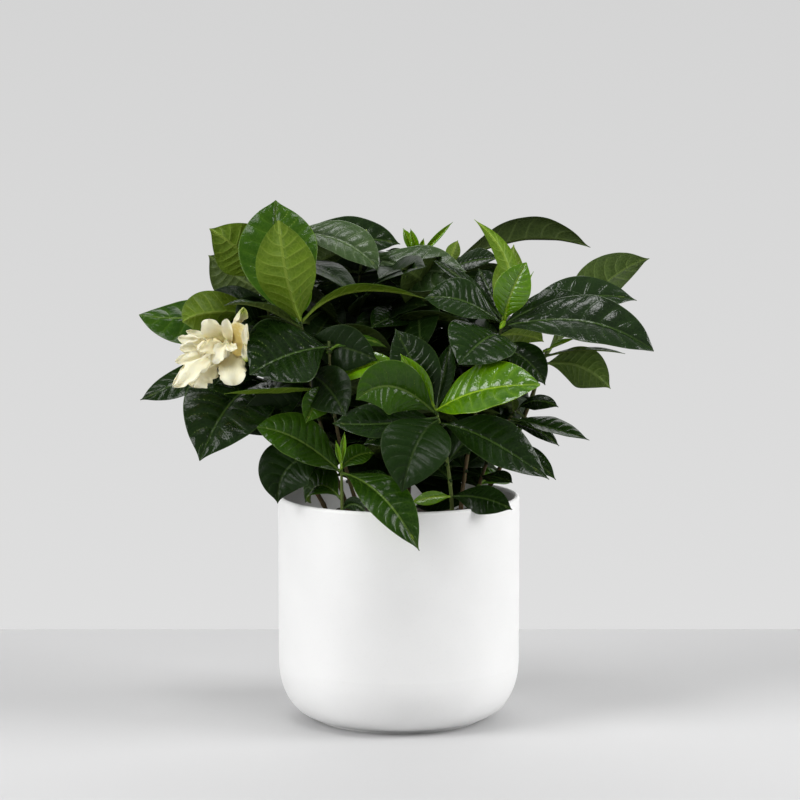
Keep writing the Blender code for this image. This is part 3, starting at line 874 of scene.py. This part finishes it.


# ---------------------------------------------------------------- smaller leaves and buds


# The smaller leaves between the CAD's own, by look. Each has the stem that it leaves and how far down from
# that stem's growing tip, then its turn, rise, droop, length, width, fold and faces, as grown_spine takes
# them. The inner ones close the crown between the shoots and over the soil, in the darker look of painted
# shade.
SPRIGS = {
    "leaf_mature": (
        ("crown_left", 0.025, -135, 15, 25, 0.062, 0.024, 8, UP),
        ("crown", 0.038, -120, 5, 20, 0.060, 0.026, 8),
        ("front", 0.004, 150, 62, 5, 0.060, 0.032, 10, FRONT),
        ("front", 0.003, 60, 65, 0, 0.046, 0.014, 15, FRONT),
        ("crown_right", 0.006, -35, 22, 20, 0.040, 0.020, 10),
        ("right", 0.006, 120, 52, 10, 0.046, 0.024, 8, FRONT),
        ("right", 0.005, 150, 48, 25, 0.068, 0.009, 10, LEFT_FRONT),
        ("front_left", 0.092, -35, 20, 30, 0.034, 0.012, 10),
        ("front", 0.014, 180, 15, 30, 0.068, 0.026, 10),
        ("front", 0.020, 180, 15, 45, 0.052, 0.024, 10),
        ("front", 0.062, -18, 10, 38, 0.042, 0.024, -8),
        ("low_left", 0.030, -40, 50, 100, 0.022, 0.010, 10, FRONT),
        ("right", 0.008, 0, 40, 60, 0.068, 0.020, 14),
        ("right", 0.022, -20, -5, 60, 0.043, 0.024, 10),
        ("far_right", 0.005, -10, 15, 25, 0.053, 0.016, 10, UP),
        ("low_right", 0.001, -30, 40, 70, 0.032, 0.014, -15),
        ("low_right", 0.004, -100, 40, 0, 0.033, 0.014, 10),
        ("low_right", 0.012, 0, -5, 40, 0.038, 0.012, 10),
        ("low_right", 0.040, -25, 25, 75, 0.052, 0.018, 10),
        ("low_right", 0.052, -60, 8, 15, 0.038, 0.014, 10),
        ("low_right", 0.034, -20, -5, 30, 0.028, 0.016, 5),
    ),
    "leaf_fresh": (
        ("front_left", 0.006, 5, 42, 80, 0.040, 0.010, -20),
        ("front_left", 0.030, -130, -20, 40, 0.033, 0.019, 12, FRONT),
        ("front_left", 0.032, -165, 10, 20, 0.071, 0.016, -15, TOP_BACK),
        ("low_left", 0.003, 25, 50, 60, 0.026, 0.017, 12),
        ("crown_right", 0.003, 60, 50, 0, 0.020, 0.010, 10, BACK),
        ("right", 0.004, 75, 62, 0, 0.054, 0.022, 10, BACK),
        ("far_left", 0.001, 110, 50, 30, 0.016, 0.008, 15, BACK),
        ("far_left", 0.001, -170, 50, 30, 0.020, 0.009, 15),
        ("crown_left", 0.001, 80, 55, 20, 0.020, 0.009, 20, BACK),
        ("right", 0.014, 30, 5, 30, 0.035, 0.022, 8, UP_BACK),
        ("low_right", 0.058, 60, 15, 30, 0.038, 0.022, 8),
    ),
    "leaf_young": (
        ("front_left", 0.030, -5, 45, 45, 0.046, 0.020, 20),
        ("front", 0.002, -175, 60, 5, 0.042, 0.015, 10, FRONT),
        ("front", 0.062, -145, 8, 20, 0.032, 0.009, 0, FRONT),
        ("low_left", 0.001, -140, 75, 0, 0.017, 0.0045, 35, FRONT),
        ("low_left", 0.001, -35, 83, 0, 0.022, 0.005, 35, FRONT),
        ("left", 0.002, -15, 70, 0, 0.022, 0.007, 25, FRONT),
        ("left", 0.002, -135, 68, 0, 0.040, 0.007, 35, FRONT),
        ("left", 0.002, -100, 62, -20, 0.034, 0.005, 35, FRONT),
        ("crown", 0.002, -8, 52, 10, 0.034, 0.005, 35, FRONT),
        ("crown", 0.001, 170, 62, 0, 0.022, 0.008, 30, FRONT),
        ("crown", 0.001, 200, 74, 0, 0.020, 0.007, 30, FRONT),
        ("crown", 0.002, -45, 70, 0, 0.015, 0.005, 30, FRONT),
        ("right", 0.001, 35, 68, 0, 0.036, 0.004, 30, FRONT),
        ("right", 0.001, 12, 58, 0, 0.034, 0.004, 30, FRONT),
        ("right", 0.003, -110, -25, 0, 0.013, 0.0035, 20, FRONT),
        ("far_right", 0.001, -25, 28, 10, 0.021, 0.005, 30),
    ),
    "inner": (
        ("crown", 0.010, 178, 0, 20, 0.070, 0.034, 8, FRONT),
        ("crown", 0.032, 180, 0, 20, 0.070, 0.036, 8, FRONT),
        ("far_left", 0.050, -165, 0, 30, 0.050, 0.032, 8),
        ("far_left", 0.062, -110, 10, 40, 0.046, 0.034, 8, FRONT),
        ("far_left", 0.078, -130, -5, 40, 0.058, 0.036, 8, FRONT),
        ("far_left", 0.100, -80, -10, 30, 0.060, 0.036, 8, FRONT),
        ("left", 0.020, -20, 5, 30, 0.052, 0.030, 8, FRONT),
        ("left", 0.040, -60, -5, 40, 0.055, 0.032, 8, FRONT),
        ("left", 0.060, 190, 0, 40, 0.055, 0.030, 8, FRONT),
        ("low_right", 0.030, 170, -5, 30, 0.040, 0.022, 5),
        ("low_right", 0.068, 160, 5, 30, 0.044, 0.024, 8),
        ("low_right", 0.074, 110, 20, 30, 0.036, 0.022, 8),
        ("low_right", 0.052, 165, 20, 30, 0.044, 0.024, 8),
        ("low_right", 0.060, 120, 30, 30, 0.040, 0.024, 8),
        ("crown", 0.150, -20, 0, 30, 0.042, 0.026, 5),
        ("crown_left", 0.130, -10, 5, 30, 0.044, 0.026, 5),
        ("left", 0.110, 20, 10, 30, 0.044, 0.028, 5),
        ("front_left", 0.045, 60, 15, 30, 0.036, 0.020, 8),
        ("front_left", 0.078, 150, 5, 30, 0.044, 0.024, 8),
        ("front_left", 0.068, 80, 10, 30, 0.038, 0.024, 8),
        ("crown_right", 0.125, -30, 0, 30, 0.045, 0.026, 5),
        ("crown", 0.125, -60, 5, 30, 0.040, 0.024, 5),
    ),
}


def stem_point(stem, down):
    """The point of a stem this far from its growing tip."""
    centres = STEMS[stem][::-1]
    run = run_along(centres)
    return np.array([np.interp(down, run, centres[:, k]) for k in range(3)])


def make_sprigs():
    """The smaller leaves, one joined piece for each look."""
    rng = seeded("sprigs")
    for kind, sprigs in SPRIGS.items():
        sheets = []
        for stem, down, *growth in sprigs:
            spine = grown_spine(stem_point(stem, down), *growth)
            tone = YOUNG_TONE if kind == "leaf_young" else rng.uniform(*COMMON_TONES)
            # the inner ones take the darkened look of painted shade
            sheets.append(leaf_sheet(spine, LOOKS.get(kind, PAINTED_SHADE), rng, MEDIUM, tone))
        sheet_piece("sprigs_" + kind, sheets)


CROWN_CENTRE = np.array((-0.005, 0.018, 0.236))
CROWN_REACH = np.array((0.104, 0.112, 0.078))
CROWN_FULLNESS = (2, 2, 4)  # the crown is round seen from above and flatter over and under
INNER_FRONT = -0.046  # nothing of the inner foliage comes nearer to the viewer than this
BACK_OF_CROWN = 0.06  # some leaves that end behind this are green
LOWEST_WHORL = 0.158
LEAVES_A_WHORL = 3


def inside_crown(path):
    share = np.abs(path - CROWN_CENTRE) / CROWN_REACH
    return (share**CROWN_FULLNESS).sum(axis=1).max() < 1 and path[:, 1].min() > INNER_FRONT


def make_inner_leaves():
    """Whorls of older leaves down every shoot, wherever they stay inside the crown."""
    for stem in STEMS:
        rng = seeded("inner_stem_" + stem)
        sheets = []
        down, turn = 0.006, rng.uniform(0, 360)
        while stem_point(stem, down)[2] > LOWEST_WHORL:
            for arm in range(LEAVES_A_WHORL):
                heading = turn + 360 / LEAVES_A_WHORL * arm + rng.uniform(-25, 25)
                length = rng.uniform(0.050, 0.088)
                width = length * rng.uniform(0.38, 0.48)
                rise, droop = rng.uniform(-10, 50), rng.uniform(15, 75)
                roll = math.radians(rng.uniform(-60, 60))
                faces = np.array(UP) * math.cos(roll) + aimed(heading + 90, 0) * math.sin(roll)
                fold = rng.uniform(2, 14)
                spine = grown_spine(stem_point(stem, down), heading, rise, droop, length, width, fold, faces)
                path = spine.at(np.linspace(0.2, 1.0, 6))
                if inside_crown(path):
                    # most take the darkened look of painted shade; some that end at the back of the crown
                    # stay green
                    look = GREEN if path[-1, 1] > BACK_OF_CROWN and rng.random() < 0.3 else PAINTED_SHADE
                    sheets.append(leaf_sheet(spine, look, rng, COARSE, rng.uniform(0.1, 0.5)))
            turn += 180 / LEAVES_A_WHORL  # each whorl's leaves stand over the gaps of the one before
            down += rng.uniform(0.008, 0.013)
        if sheets:
            sheet_piece("inner_stem_" + stem, sheets)


# ---------------------------------------------------------------- stems and calyx

STEMS = {}  # the centre line of each stem, from the soil to its growing tip
STEM_POINTS, CALYX_POINTS = 110, 60
STEM_MAX = 0.0024  # the widest radius that is taken from the CAD
STEM_SHARE = 0.62  # a fine stem's radius as a share of its CAD tube's
MOST_KNOTS = 20
GREEN_STEMS = ("stem_front", "stem_low_left")


def resampled(points, values, count):
    """Points and values at even steps along a line, by a smooth curve, and the distance along it."""
    run = run_along(points)
    even = np.linspace(0, run[-1], count)
    curve = np.stack([np.interp(even, run, points[:, k]) for k in range(3)], axis=1)
    for _ in range(count // 12):
        curve[1:-1] = (curve[:-2] + curve[1:-1] * 2 + curve[2:]) / 4
    return curve, np.interp(even, run, values), even


def make_stems():
    for node in nodes_named("stem_"):
        low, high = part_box(node)
        below = np.array(((low.x + high.x) / 2, (low.y + high.y) / 2, -1.0))
        centres, width, run = resampled(*tube_rings(node, below), STEM_POINTS)
        STEMS[node.removeprefix("stem_")] = centres
        rng = seeded(node)
        width = np.minimum(width, STEM_MAX) * STEM_SHARE
        for knot in np.cumsum(rng.uniform(0.010, 0.019, MOST_KNOTS)):
            width = width * (1 + 0.22 * np.exp(-(((run - knot) / 0.0011) ** 2)))
        turn, run = round_turn(14)[None, :], run[:, None]
        ribs = 1 + 0.05 * np.sin(3 * turn + run * 90) + 0.03 * np.sin(5 * turn - run * 210)
        look, slot = (STEM_YOUNG, "stem_green") if node in GREEN_STEMS else (STEM_WOOD, "stem_woody")
        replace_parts(tube_piece("fine_" + node, centres, width[:, None] * ribs, look), node)


def make_calyx():
    """The ribbed calyx, which narrows towards the petals. Gives the point where it ends."""
    beside = STEMS["far_left"][60]  # its foot is the end nearer to this point of its stem
    centres, width, run = resampled(*tube_rings("flower_calyx", beside), CALYX_POINTS)
    turn = round_turn(18)[None, :]
    share = (run / run[-1])[:, None]
    ribbed = width[:, None] * (0.62 - 0.50 * share**2) * (1 + 0.10 * np.cos(6 * turn) * share**2)
    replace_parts(tube_piece("fine_flower_calyx", centres, ribbed, STEM_YOUNG), "flower_calyx")
    return centres[-1]


# ---------------------------------------------------------------- planter and soil


LONG_RUN = 0.012  # a longer run of the planter's profile is rounded only this near to its ends:
RUN_END = 0.0006


def rounded(profile, rounds):
    """Corner cutting, with long runs divided first so that only their ends are rounded."""
    dense = [profile[0]]
    for a, b in zip(profile[:-1], profile[1:]):
        length = float(np.linalg.norm(b - a))
        marks = (RUN_END / length, 1 - RUN_END / length) if length > LONG_RUN else ()
        dense += [a + (b - a) * m for m in marks] + [b]
    points = np.array(dense)
    for _ in range(rounds):
        q = points[:-1] * 0.75 + points[1:] * 0.25
        r = points[:-1] * 0.25 + points[1:] * 0.75
        points = np.concatenate((points[:1], np.stack((q, r), axis=1).reshape(-1, 2), points[-1:]))
    return points


def make_planter():
    profile = rounded(turned_profile("planter"), 3)
    profile[0, 0] = profile[-1, 0] = 0.00002  # just off the axis, so that no two corners share a place
    radius, height = profile[:, :1], profile[:, 1:]
    turn = round_turn(160)
    rings = np.stack((radius * np.cos(turn), radius * np.sin(turn), height + 0 * turn), axis=-1)
    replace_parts(turned_piece("fine_planter", rings, ceramic_material("matt_ceramic")), "planter")


SOIL_HOLLOWS = 0.0012  # the soil's hollows lie this far below its CAD surface
SOIL_LUMPS = 900


def make_soil():
    """Loose potting soil: a heap of soft lumps of many sizes, a little lower at the wall."""
    low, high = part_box("potting_soil")
    edge = (high.x - low.x) / 2
    rng = seeded("potting_soil")
    r = np.linspace(0.0002, edge, 74)
    turn = round_turn(200)
    x, y = np.outer(r, np.cos(turn)), np.outer(r, np.sin(turn))
    z = np.full(x.shape, high.z - SOIL_HOLLOWS)
    for _ in range(SOIL_LUMPS):
        size = 0.0012 + 0.0034 * rng.random() ** 2
        away, spin = edge * math.sqrt(rng.random()), rng.uniform(0, 2 * math.pi)
        near = (x - away * math.cos(spin)) ** 2 + (y - away * math.sin(spin)) ** 2
        lump = size * 0.62 * np.sqrt(np.clip(1 - near / size**2, 0, 1))
        z = np.maximum(z, high.z - SOIL_HOLLOWS + lump * rng.uniform(0.6, 1.3))
    z[-1] = high.z - 0.004
    # the heap, and the side and the bottom that the planter hides
    top = np.stack((x, y, z), axis=-1)
    wall, floor = top[-1:].copy(), top[-1:].copy()
    wall[..., 2] = low.z + 0.04
    floor[..., :2] *= 0.3
    floor[..., 2] = low.z + 0.004
    rings = np.concatenate((floor, wall, top[::-1]))
    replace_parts(turned_piece("fine_potting_soil", rings, soil_material("soil_loose")), "potting_soil")


# ---------------------------------------------------------------- studio


def table_material(name, colour):
    """A plain pale top, with painted shade that makes it a little darker towards the back."""
    g = Graph(name)
    backward = g.parts(g.place())[1]
    worn = g.mix(g.ramp(g.noise(1.2, 2.0), 0.3, 0.7), colour, tuple(c * 0.985 for c in colour))
    # painted shade: towards the back the colour falls to 0.88 of itself
    g.set(Base_Color=g.mix(g.ramp(backward, -0.05, 0.22), worn, tuple(c * 0.88 for c in colour)))
    g.set(Roughness=0.60, Specular_IOR_Level=0.06)
    return g.material


def stage_sheet(name, corners, material):
    mesh = bpy.data.meshes.new(name)
    mesh.from_pydata(corners, [], [(0, 1, 2, 3)])
    mesh.materials.append(material)
    piece = bpy.data.objects.new(name, mesh)
    bpy.context.scene.collection.objects.link(piece)


def pointing(place, aim):
    """The rotation of a light at this place that shines on aim."""
    away = np.array(place) - np.array(aim)
    return (math.acos(away[2] / np.linalg.norm(away)), 0.0, math.atan2(away[0], -away[1]))


def light(name, place, aim, size, power):
    data = bpy.data.lights.new(name, "AREA")
    data.shape = "RECTANGLE"
    data.size, data.size_y = size
    data.energy = power
    lamp = bpy.data.objects.new(name, data)
    bpy.context.scene.collection.objects.link(lamp)
    lamp.location = place
    lamp.rotation_euler = pointing(place, aim)


def glowing_wall(name, low, high, low_glow, high_glow):
    """A backdrop that glows as painted light, not lit by the lamps; its glow changes evenly between two
    heights.
    """
    g = Graph(name)
    strength = g.ramp(g.parts(g.place())[2], low, high, low_glow, high_glow, "LINEAR")
    glow = g.node("Emission", {"Strength": strength})[0]
    g.tree.nodes.remove(g.shader)
    g.tree.links.new(glow, g.tree.nodes["Material Output"].inputs[0])
    return g.material


def studio_room(name, light_level, seen_level):
    """A plain room: dim where it lights the object, and as pale as the backdrop where it is seen."""
    world = bpy.data.worlds.new(name)
    world.use_nodes = True
    tree = world.node_tree
    ray = tree.nodes.new("ShaderNodeLightPath")
    level = tree.nodes.new("ShaderNodeMapRange")
    tree.links.new(ray.outputs["Is Camera Ray"], level.inputs[0])
    level.inputs[3].default_value = light_level
    level.inputs[4].default_value = seen_level
    sky = tree.nodes["Background"]
    sky.inputs[0].default_value = (1.0, 1.0, 1.0, 1.0)
    tree.links.new(level.outputs[0], sky.inputs[1])
    return world


TABLE_SIDE = 0.9
TABLE_FRONT = -1.1
TABLE_BACK = 0.30
TABLE_DROP = 0.4
WALL_BACK = 2.6
WALL_SIDE = 6
WALL_HEIGHTS = (-2, 5)
PLANT_MIDDLE = (0, 0, 0.2)  # where the lights aim
CAMERA_PLACE = (0.0008, -2.000, 0.448)
CAMERA_TILT = 6.72  # degrees that it looks down
CAMERA_LENS = 137.1  # mm, on a 36 mm sensor


def make_table():
    material = table_material("table", (0.59, 0.59, 0.593))
    back = (TABLE_SIDE, TABLE_BACK, 0), (-TABLE_SIDE, TABLE_BACK, 0)
    front = (-TABLE_SIDE, TABLE_FRONT, 0), (TABLE_SIDE, TABLE_FRONT, 0)
    below = (TABLE_SIDE, TABLE_BACK, -TABLE_DROP), (-TABLE_SIDE, TABLE_BACK, -TABLE_DROP)
    stage_sheet("table_top", front + back, material)
    stage_sheet("table_edge", back[::-1] + below, material)


def make_studio():
    scene = bpy.context.scene
    scene.view_settings.view_transform = "Standard"
    make_table()
    low, high = WALL_HEIGHTS
    outline = ((-WALL_SIDE, low), (WALL_SIDE, low), (WALL_SIDE, high), (-WALL_SIDE, high))
    wall = [(x, WALL_BACK, z) for x, z in outline]
    # the backdrop's glow is painted light, a little brighter low down than high up
    stage_sheet("backdrop", wall, glowing_wall("wall", -0.44, 0.58, 0.735, 0.655))
    scene.world = studio_room("studio", 0.32, 0.68)
    light("left", (-2.19, -1.24, 1.35), PLANT_MIDDLE, (1.45, 1.45), 50)
    light("right", (2.43, -0.46, 1.35), PLANT_MIDDLE, (1.45, 1.45), 56)
    light("top", (-0.25, -0.6, 2.1), PLANT_MIDDLE, (0.6, 0.6), 11)
    light("back", (0.0, 1.2, 1.5), (0, 0, 0.25), (1.6, 0.6), 7)
    lens = bpy.data.cameras.new("camera")
    lens.lens = CAMERA_LENS
    lens.sensor_width = 36.0
    camera = bpy.data.objects.new("camera", lens)
    scene.collection.objects.link(camera)
    camera.location = CAMERA_PLACE
    camera.rotation_euler = (math.radians(90 - CAMERA_TILT), 0.0, 0.0)
    scene.camera = camera


make_stems()
calyx_end = make_calyx()
make_leaves()
make_sprigs()
make_inner_leaves()
make_petals(calyx_end)
make_planter()
make_soil()
make_studio()
